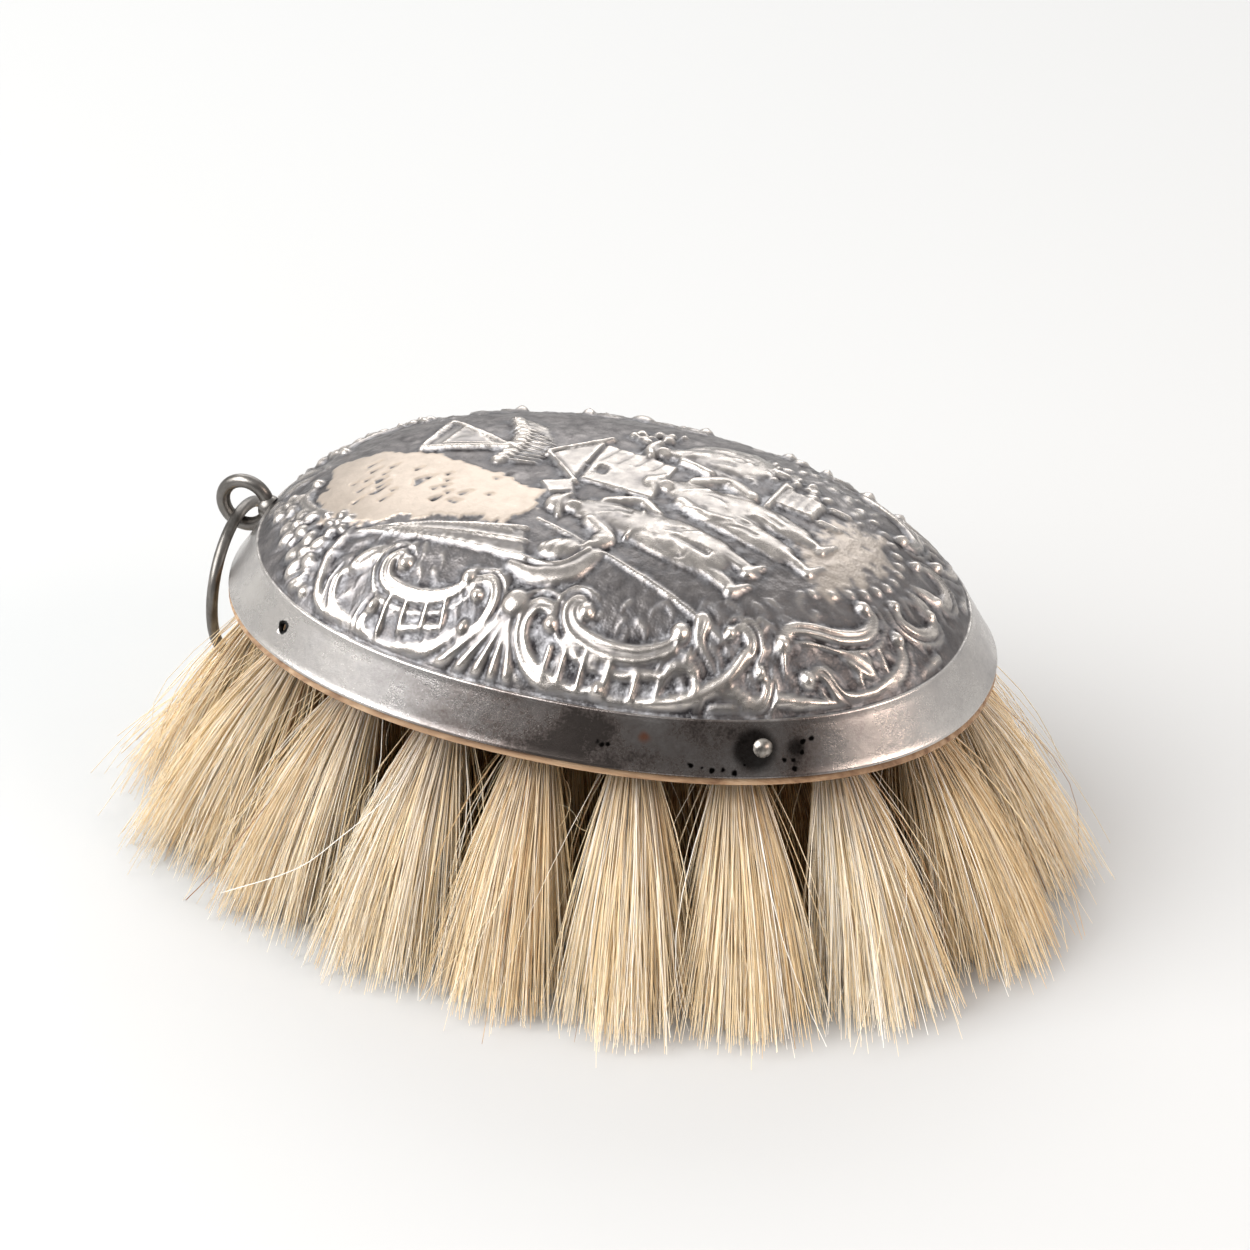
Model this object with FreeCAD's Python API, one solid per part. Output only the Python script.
import FreeCAD
import Part
import math
import os
from FreeCAD import Vector

# Oval hairbrush with a stamped silver back and 38 drawn hair tufts, standing on its hair tips.
# Millimetres. Origin at the floor under the middle of the oval, +Z up, hanging eye at the -X end.

# ---- Silver back -------------------------------------------------------------------------------
BACK_LENGTH = 104.0        # oval at the lower rim, end to end
BACK_WIDTH = 71.6          # oval at the lower rim, side to side
OVAL_POWER = 2.17          # 2 is an ellipse, more is fuller at the corners
RIM_HEIGHT = 32.8          # floor to the lower rim
SKIRT_HEIGHT = 6.55        # lower rim to the crease under the dome
SKIRT_INSET_X = 3.9        # how far the crease stands in from the rim at the ends
SKIRT_INSET_Y = 3.0        # and at the sides
DOME_RISE = 13.0           # crease to the top of the dome
DOME_POWER = 4.0           # 2 is a parabola, more is flatter on top
SHEET = 0.5                # thickness of the stamped sheet

# ---- Wooden core -------------------------------------------------------------------------------
CORE_GAP = 0.1             # between the silver and what it covers
STOCK_DROP = 1.0           # how far the stock shows below the rim
STOCK_THICKNESS = 8.8
BACKING_THICKNESS = 1.5

# ---- Tufts -------------------------------------------------------------------------------------
RINGS = ("outer", "middle", "inner")
RING_COUNTS = (18, 12, 8)
RING_STARTS = (0.5, 0.0, 0.0)    # first tuft, in tuft pitches round from the +X end
RING_LEANS = (26.0, 14.0, 4.0)   # degrees from upright, outwards
EDGE_MARGIN = 9.4          # rim to the line of the outer tufts, at the stock's face
CENTRE_SHARE = 0.7         # middle of the stock to the inner ring, in ring pitches
KNOT_RADIUS = 2.9          # hair bundle in its hole
KNOT_GAP = 0.1             # around the bundle
HOLE_DEPTH = 6.0           # along the tuft
KNOT_HEADROOM = 0.25       # top of the bundle to the end of its hole
TIP_GAP = 0.4              # between neighbouring tufts at the floor

# ---- Draw wires --------------------------------------------------------------------------------
WIRE_RADIUS = 0.3
BEND_SWELL = 0.006         # the wire is a little thicker where it bends
WIRE_GAP = 0.06            # around the wire where it passes through hair
WIRE_HOLE_RADIUS = 1.0
LOOP_RADIUS = 0.45         # middle of the wire, where it turns round the hair
LOOP_DEPTH = 4.4           # face of the stock to the bottom of the loop, along the tuft
GROOVE_RADIUS = 0.55
WIRE_SINK = 0.36           # back of the stock to the middle of the wire

# ---- Rim pins ----------------------------------------------------------------------------------
PIN_ANGLES = (-55.0, 55.0, 135.0)
LOST_PIN_ANGLE = -135.0    # its hole is empty
PIN_HEIGHT = 3.45          # above the rim
PIN_RADIUS = 0.4
PIN_HOLE_GAP = 0.1         # in the silver
PIN_PILOT_GAP = 0.02       # in the wood
PIN_LENGTH = 5.0           # under the head
PIN_HEAD_RADIUS = 1.25
PIN_HEAD_HEIGHT = 0.7

# ---- Hanging eye and ring ----------------------------------------------------------------------
EYE_RADIUS = 3.3           # middle of the wire
EYE_WIRE_RADIUS = 0.95
EYE_HEIGHT = 5.36          # above the rim
EYE_STANDOFF = 3.5         # skirt to the middle of the eye
SHANK_LENGTH = 5.0         # inside the skirt
SHANK_RADIUS = 0.85
SHANK_GAP = 0.05
SOLDER_RADIUS = 1.7
RING_RADIUS = 10.4         # middle of the wire
RING_WIRE_RADIUS = 0.8
LINK_GAP = 0.06            # ring to eye where they bear
BEARING_ANGLE = 24.0       # where the ring bears in the eye, degrees outwards from the lowest point
SWING_GAP = 0.3            # hair to the swinging ring

OUTLINE_POINTS = 48
DOME_SECTIONS = 11
FLAT_TOP = 0.14            # share of the dome's radius that is left as a flat top
FAR = 200.0                # larger than the brush, for cutting boxes

# ---- Worked out from the sizes above -----------------------------------------------------------
CREASE_Z = RIM_HEIGHT + SKIRT_HEIGHT
FACE_Z = RIM_HEIGHT - STOCK_DROP
STOCK_TOP_Z = FACE_Z + STOCK_THICKNESS
BACKING_TOP_Z = STOCK_TOP_Z + BACKING_THICKNESS
HALF_LENGTH = BACK_LENGTH / 2
HALF_WIDTH = BACK_WIDTH / 2


# ---- Oval outline ------------------------------------------------------------------------------
def oval_point(half_x, half_y, degrees, z=0.0, power=OVAL_POWER):
    """Point of a superellipse at the parameter angle."""
    c, s = math.cos(math.radians(degrees)), math.sin(math.radians(degrees))
    x = half_x * math.copysign(abs(c) ** (2 / power), c)
    y = half_y * math.copysign(abs(s) ** (2 / power), s)
    return Vector(x, y, z)


def oval_wire(half_x, half_y, z):
    step = 360 / OUTLINE_POINTS
    points = [oval_point(half_x, half_y, i * step, z) for i in range(OUTLINE_POINTS)]
    curve = Part.BSplineCurve()
    curve.interpolate(Points=points, PeriodicFlag=True)
    return Part.Wire(curve.toShape())


def skirt_halves(z, inset=0.0):
    """Half length and half width of the sloping skirt at a height."""
    share = (z - RIM_HEIGHT) / SKIRT_HEIGHT
    return (
        HALF_LENGTH - inset - SKIRT_INSET_X * share,
        HALF_WIDTH - inset - SKIRT_INSET_Y * share,
    )


def oval_body(inset, low_z):
    """The brush back as a full solid, moved in by inset and reaching down to low_z."""
    skirt = Part.makeLoft(
        [oval_wire(*skirt_halves(z, inset), z) for z in (low_z, CREASE_Z)], True, True
    )
    half_x, half_y = skirt_halves(CREASE_Z, inset)
    rise = DOME_RISE - inset
    sections = []
    for i in range(DOME_SECTIONS):
        share = 1 - (1 - FLAT_TOP) * (i / (DOME_SECTIONS - 1)) ** 1.6
        z = CREASE_Z + rise * (1 - share**DOME_POWER)
        sections.append(oval_wire(half_x * share, half_y * share, z))
    return skirt.fuse(Part.makeLoft(sections, True, False))


def slab(low_z, high_z):
    return Part.makeBox(2 * FAR, 2 * FAR, high_z - low_z, Vector(-FAR, -FAR, low_z))


def rod(start, end, radius):
    along = end - start
    return Part.makeCylinder(radius, along.Length, start, along)


# ---- Where the tufts stand ---------------------------------------------------------------------
def even_angles(half_x, half_y, count, start):
    """Parameter angles that space count points evenly round an ellipse, start pitches from +X."""
    steps = 3600
    travelled = [0.0]
    for i in range(steps):
        a, b = 2 * math.pi * i / steps, 2 * math.pi * (i + 1) / steps
        dx, dy = half_x * (math.cos(b) - math.cos(a)), half_y * (math.sin(b) - math.sin(a))
        travelled.append(travelled[-1] + math.hypot(dx, dy))
    angles, i = [], 0
    for k in range(count):
        while travelled[i] < travelled[-1] * (k + start) / count - 1e-9:
            i += 1
        angles.append(360 * i / steps)
    return angles


def tuft_lines():
    """For each ring of tufts, the (foot on the face, tip on the floor) of every tuft."""
    half_x, half_y = HALF_LENGTH - EDGE_MARGIN, HALF_WIDTH - EDGE_MARGIN
    pitch = half_y / (len(RINGS) - 1 + CENTRE_SHARE)
    rings = []
    for k, (count, start, lean) in enumerate(zip(RING_COUNTS, RING_STARTS, RING_LEANS)):
        a, b = half_x - k * pitch, half_y - k * pitch
        splay = FACE_Z * math.tan(math.radians(lean))
        rings.append([
            (oval_point(a, b, t, FACE_Z, 2), oval_point(a + splay, b + splay, t, 0, 2))
            for t in even_angles(a, b, count, start)
        ])
    return rings


def tip_radii(rings):
    """The widest round tip each ring's tufts can have without touching any other tuft."""
    tips = [tip for ring in rings for _, tip in ring]
    radii = []
    for ring, lean in zip(rings, RING_LEANS):
        nearest = min(tip.distanceToPoint(o) for _, tip in ring for o in tips if o is not tip)
        radii.append((nearest - TIP_GAP) / 2 * math.cos(math.radians(lean)))
    return radii


def up_the_hole(foot, tip):
    return (foot - tip).normalize()


def level_across(foot, tip):
    """Level direction square to a tuft's lean."""
    return up_the_hole(foot, tip).cross(Vector(0, 0, 1)).normalize()


def wire_height_point(foot, tip):
    """Where a tuft's line meets the height of the wire on the back of the stock."""
    up = up_the_hole(foot, tip)
    return foot + up * ((STOCK_TOP_Z - WIRE_SINK - FACE_Z) / up.z)


# ---- Wire, hair and their holes ----------------------------------------------------------------
def loop_tops(foot, tip):
    """Where the two legs of a tuft's loop come out at the back of the stock, in ring order."""
    back, across = wire_height_point(foot, tip), level_across(foot, tip)
    return back - across * LOOP_RADIUS, back + across * LOOP_RADIUS


def wire_loop(foot, tip, radius):
    """The wire's way down a hole, round under the folded hair and back up."""
    up, across = up_the_hole(foot, tip), level_across(foot, tip)
    turn_centre = foot + up * (LOOP_DEPTH + LOOP_RADIUS)
    first, last = turn_centre - across * LOOP_RADIUS, turn_centre + across * LOOP_RADIUS
    tops = loop_tops(foot, tip)
    turn = Part.Arc(first, turn_centre - up * LOOP_RADIUS, last).toShape()
    path = Part.Wire([Part.makeLine(tops[0], first), turn, Part.makeLine(last, tops[1])])
    return path.makePipeShell([Part.Wire(Part.makeCircle(radius, tops[0], up))], True, False)


def wire_runs(ring, radius):
    """The straight runs on the back of the stock, from each hole to the next."""
    tops = [loop_tops(foot, tip) for foot, tip in ring]
    return [rod(a[1], b[0], radius) for a, b in zip(tops, tops[1:] + tops[:1])]


def draw_wire(ring):
    """One wire laced round a ring of holes: a loop down each hole and a run to the next."""
    tops = [loop_tops(foot, tip) for foot, tip in ring]
    bends = [Part.makeSphere(WIRE_RADIUS + BEND_SWELL, top) for pair in tops for top in pair]
    loops = [wire_loop(foot, tip, WIRE_RADIUS) for foot, tip in ring]
    return loops[0].fuse(loops[1:] + wire_runs(ring, WIRE_RADIUS) + bends)


def tuft_hole(foot, tip):
    """A wide hole for the hair from the face, and a narrow one on through for the wire."""
    up = up_the_hole(foot, tip)
    mouth = foot - up * KNOT_RADIUS * 2
    wide = rod(mouth, foot + up * HOLE_DEPTH, KNOT_RADIUS + KNOT_GAP)
    narrow = rod(foot, foot + up * (STOCK_THICKNESS * 1.5), WIRE_HOLE_RADIUS)
    return wide.fuse(narrow)


def tuft(foot, tip, tip_radius):
    """A bundle folded over its wire: a round-topped knot in the hole and a cone of hair below."""
    up = up_the_hole(foot, tip)
    shoulder = foot + up * (HOLE_DEPTH - KNOT_HEADROOM - KNOT_RADIUS)
    knot = rod(foot, shoulder, KNOT_RADIUS).fuse(Part.makeSphere(KNOT_RADIUS, shoulder))
    # the hole meets the face at a slant, so the hair stays straight until it is past the mouth
    mouth = KNOT_RADIUS * math.sqrt(1 - up.z**2) / up.z
    straight = rod(foot, foot - up * mouth, KNOT_RADIUS)
    reach = (foot - tip).Length - mouth
    past = tip_radius * 2
    end_radius = KNOT_RADIUS + (tip_radius - KNOT_RADIUS) * (reach + past) / reach
    cone = Part.makeCone(KNOT_RADIUS, end_radius, reach + past, foot - up * mouth, up * -1)
    hair = knot.fuse([straight, cone]).cut(slab(-FAR, 0))
    return hair.cut(wire_loop(foot, tip, WIRE_RADIUS + WIRE_GAP))


# ---- Rim pins ----------------------------------------------------------------------------------
def pin_seat(degrees):
    """Point on the skirt and the skirt's outward normal there."""
    z = RIM_HEIGHT + PIN_HEIGHT
    half_x, half_y = skirt_halves(z)
    seat = oval_point(half_x, half_y, degrees, z)
    share_x, share_y = abs(seat.x / half_x) ** OVAL_POWER, abs(seat.y / half_y) ** OVAL_POWER
    slope = (share_x * SKIRT_INSET_X / half_x + share_y * SKIRT_INSET_Y / half_y) / SKIRT_HEIGHT
    return seat, Vector(share_x / seat.x, share_y / seat.y, slope).normalize()


def pin(degrees):
    seat, out = pin_seat(degrees)
    shank_end = seat - out * (PIN_LENGTH - 2 * PIN_RADIUS)
    shank = rod(seat, shank_end, PIN_RADIUS)
    point = Part.makeCone(PIN_RADIUS, PIN_RADIUS / 10, 2 * PIN_RADIUS, shank_end, out * -1)
    # the head is a cap of a ball whose flat side lies on the skirt
    ball_radius = (PIN_HEAD_RADIUS**2 + PIN_HEAD_HEIGHT**2) / (2 * PIN_HEAD_HEIGHT)
    ball = Part.makeSphere(ball_radius, seat + out * (PIN_HEAD_HEIGHT - ball_radius))
    head = ball.common(Part.makeCylinder(2 * PIN_HEAD_RADIUS, 2 * PIN_HEAD_HEIGHT, seat, out))
    return head.fuse([shank, point])


def pin_hole(degrees, gap):
    seat, out = pin_seat(degrees)
    return rod(seat + out * PIN_HEAD_RADIUS, seat - out * (PIN_LENGTH + 2 * gap), PIN_RADIUS + gap)


# ---- Hanging eye and ring ----------------------------------------------------------------------
def shank_mouth():
    z = RIM_HEIGHT + EYE_HEIGHT
    return Vector(-skirt_halves(z)[0], 0, z)


def eye_centre():
    return shank_mouth() - Vector(EYE_STANDOFF, 0, 0)


def shank_hole():
    mouth = shank_mouth()
    end = mouth + Vector(SHANK_LENGTH + 2 * SHANK_GAP, 0, 0)
    return rod(mouth - Vector(EYE_STANDOFF / 2, 0, 0), end, SHANK_RADIUS + SHANK_GAP)


def hanging_point():
    """Middle of the ring's wire where it bears inside the eye, and the axis point of its swing."""
    reach = EYE_RADIUS - EYE_WIRE_RADIUS - RING_WIRE_RADIUS - LINK_GAP
    angle = math.radians(BEARING_ANGLE)
    return eye_centre() - Vector(math.sin(angle), 0, math.cos(angle)) * reach


def hanger_eye(silver):
    """Wire eye with a pointed shank through the skirt, and its bead of solder on the silver."""
    centre, mouth = eye_centre(), shank_mouth()
    eye = Part.makeTorus(EYE_RADIUS, EYE_WIRE_RADIUS, centre, Vector(0, 1, 0))
    shank_end = mouth + Vector(SHANK_LENGTH - 2 * SHANK_RADIUS, 0, 0)
    shank = rod(centre + Vector(EYE_RADIUS, 0, 0), shank_end, SHANK_RADIUS)
    point = Part.makeCone(
        SHANK_RADIUS, SHANK_RADIUS / 10, 2 * SHANK_RADIUS, shank_end, Vector(1, 0, 0)
    )
    solder = Part.makeSphere(SOLDER_RADIUS, mouth).cut(silver)
    keep_out = Part.makeCylinder(
        EYE_RADIUS - EYE_WIRE_RADIUS, 2 * FAR, centre - Vector(0, FAR, 0), Vector(0, 1, 0)
    )
    return eye.cut(silver).fuse([shank, point, solder.cut(keep_out)])


def hanging_ring():
    centre = hanging_point() - Vector(0, 0, RING_RADIUS)
    return Part.makeTorus(RING_RADIUS, RING_WIRE_RADIUS, centre, Vector(1, 0, 0))


def ring_swing_space():
    """What the ring sweeps outside its hanging plane, which the hair at that end stays out of."""
    axis = hanging_point()
    reach = 2 * RING_RADIUS + RING_WIRE_RADIUS + SWING_GAP
    half = RING_RADIUS + RING_WIRE_RADIUS + SWING_GAP
    swept = Part.makeCylinder(reach, 2 * half, axis - Vector(0, half, 0), Vector(0, 1, 0))
    inner_x = axis.x + RING_WIRE_RADIUS + SWING_GAP
    return swept.common(Part.makeBox(FAR, 2 * half, 2 * FAR, Vector(inner_x - FAR, -half, -FAR)))


# ---- The brush ---------------------------------------------------------------------------------
def save(shape, node):
    solids = shape.Solids
    if not shape.isValid() or not solids:
        raise RuntimeError(f"{node} isn't a valid solid")
    kept = solids[0] if len(solids) == 1 else Part.makeCompound(solids)
    kept.exportStep(os.path.join("parts", node + ".step"))
    print(f"{node}: {len(solids)} solid(s), {sum(s.Volume for s in solids):.2f} mm3")


def main():
    os.makedirs("parts", exist_ok=True)
    rings = tuft_lines()
    radii = tip_radii(rings)
    all_pins = PIN_ANGLES + (LOST_PIN_ANGLE,)

    outside = oval_body(0, RIM_HEIGHT)
    silver = outside.cut(oval_body(SHEET, RIM_HEIGHT - SHEET))
    silver = silver.cut([pin_hole(t, PIN_HOLE_GAP) for t in all_pins] + [shank_hole()])
    save(silver, "silver_back")

    core = oval_body(SHEET + CORE_GAP, FACE_Z)
    save(core.common(slab(BACKING_TOP_Z, FAR)), "pitch_fill")
    save(core.common(slab(STOCK_TOP_Z, BACKING_TOP_Z)), "backing_board")

    stock = core.common(slab(FACE_Z, STOCK_TOP_Z))
    stock = stock.cut([tuft_hole(foot, tip) for ring in rings for foot, tip in ring])
    for ring in rings:
        for groove in wire_runs(ring, GROOVE_RADIUS):
            stock = stock.cut(groove)
    stock = stock.cut([pin_hole(t, PIN_PILOT_GAP) for t in all_pins] + [shank_hole()])
    save(stock, "bristle_stock")

    swing_space = ring_swing_space()
    for name, ring, radius in zip(RINGS, rings, radii):
        save(draw_wire(ring), f"draw_wire_{name}")
        for i, (foot, tip) in enumerate(ring):
            hair = tuft(foot, tip, radius)
            if hair.distToShape(swing_space)[0] < SWING_GAP:
                hair = hair.cut(swing_space)
            save(hair, f"tuft_{name}_{i + 1:02d}")

    save(Part.makeCompound([pin(t) for t in PIN_ANGLES]), "rim_pins")
    save(hanger_eye(outside), "hanger_eye")
    save(hanging_ring(), "hanging_ring")
    hinge = hanging_point()
    print(f"ring swing axis: along Y through x {hinge.x:.3f}, z {hinge.z:.3f}")


main()
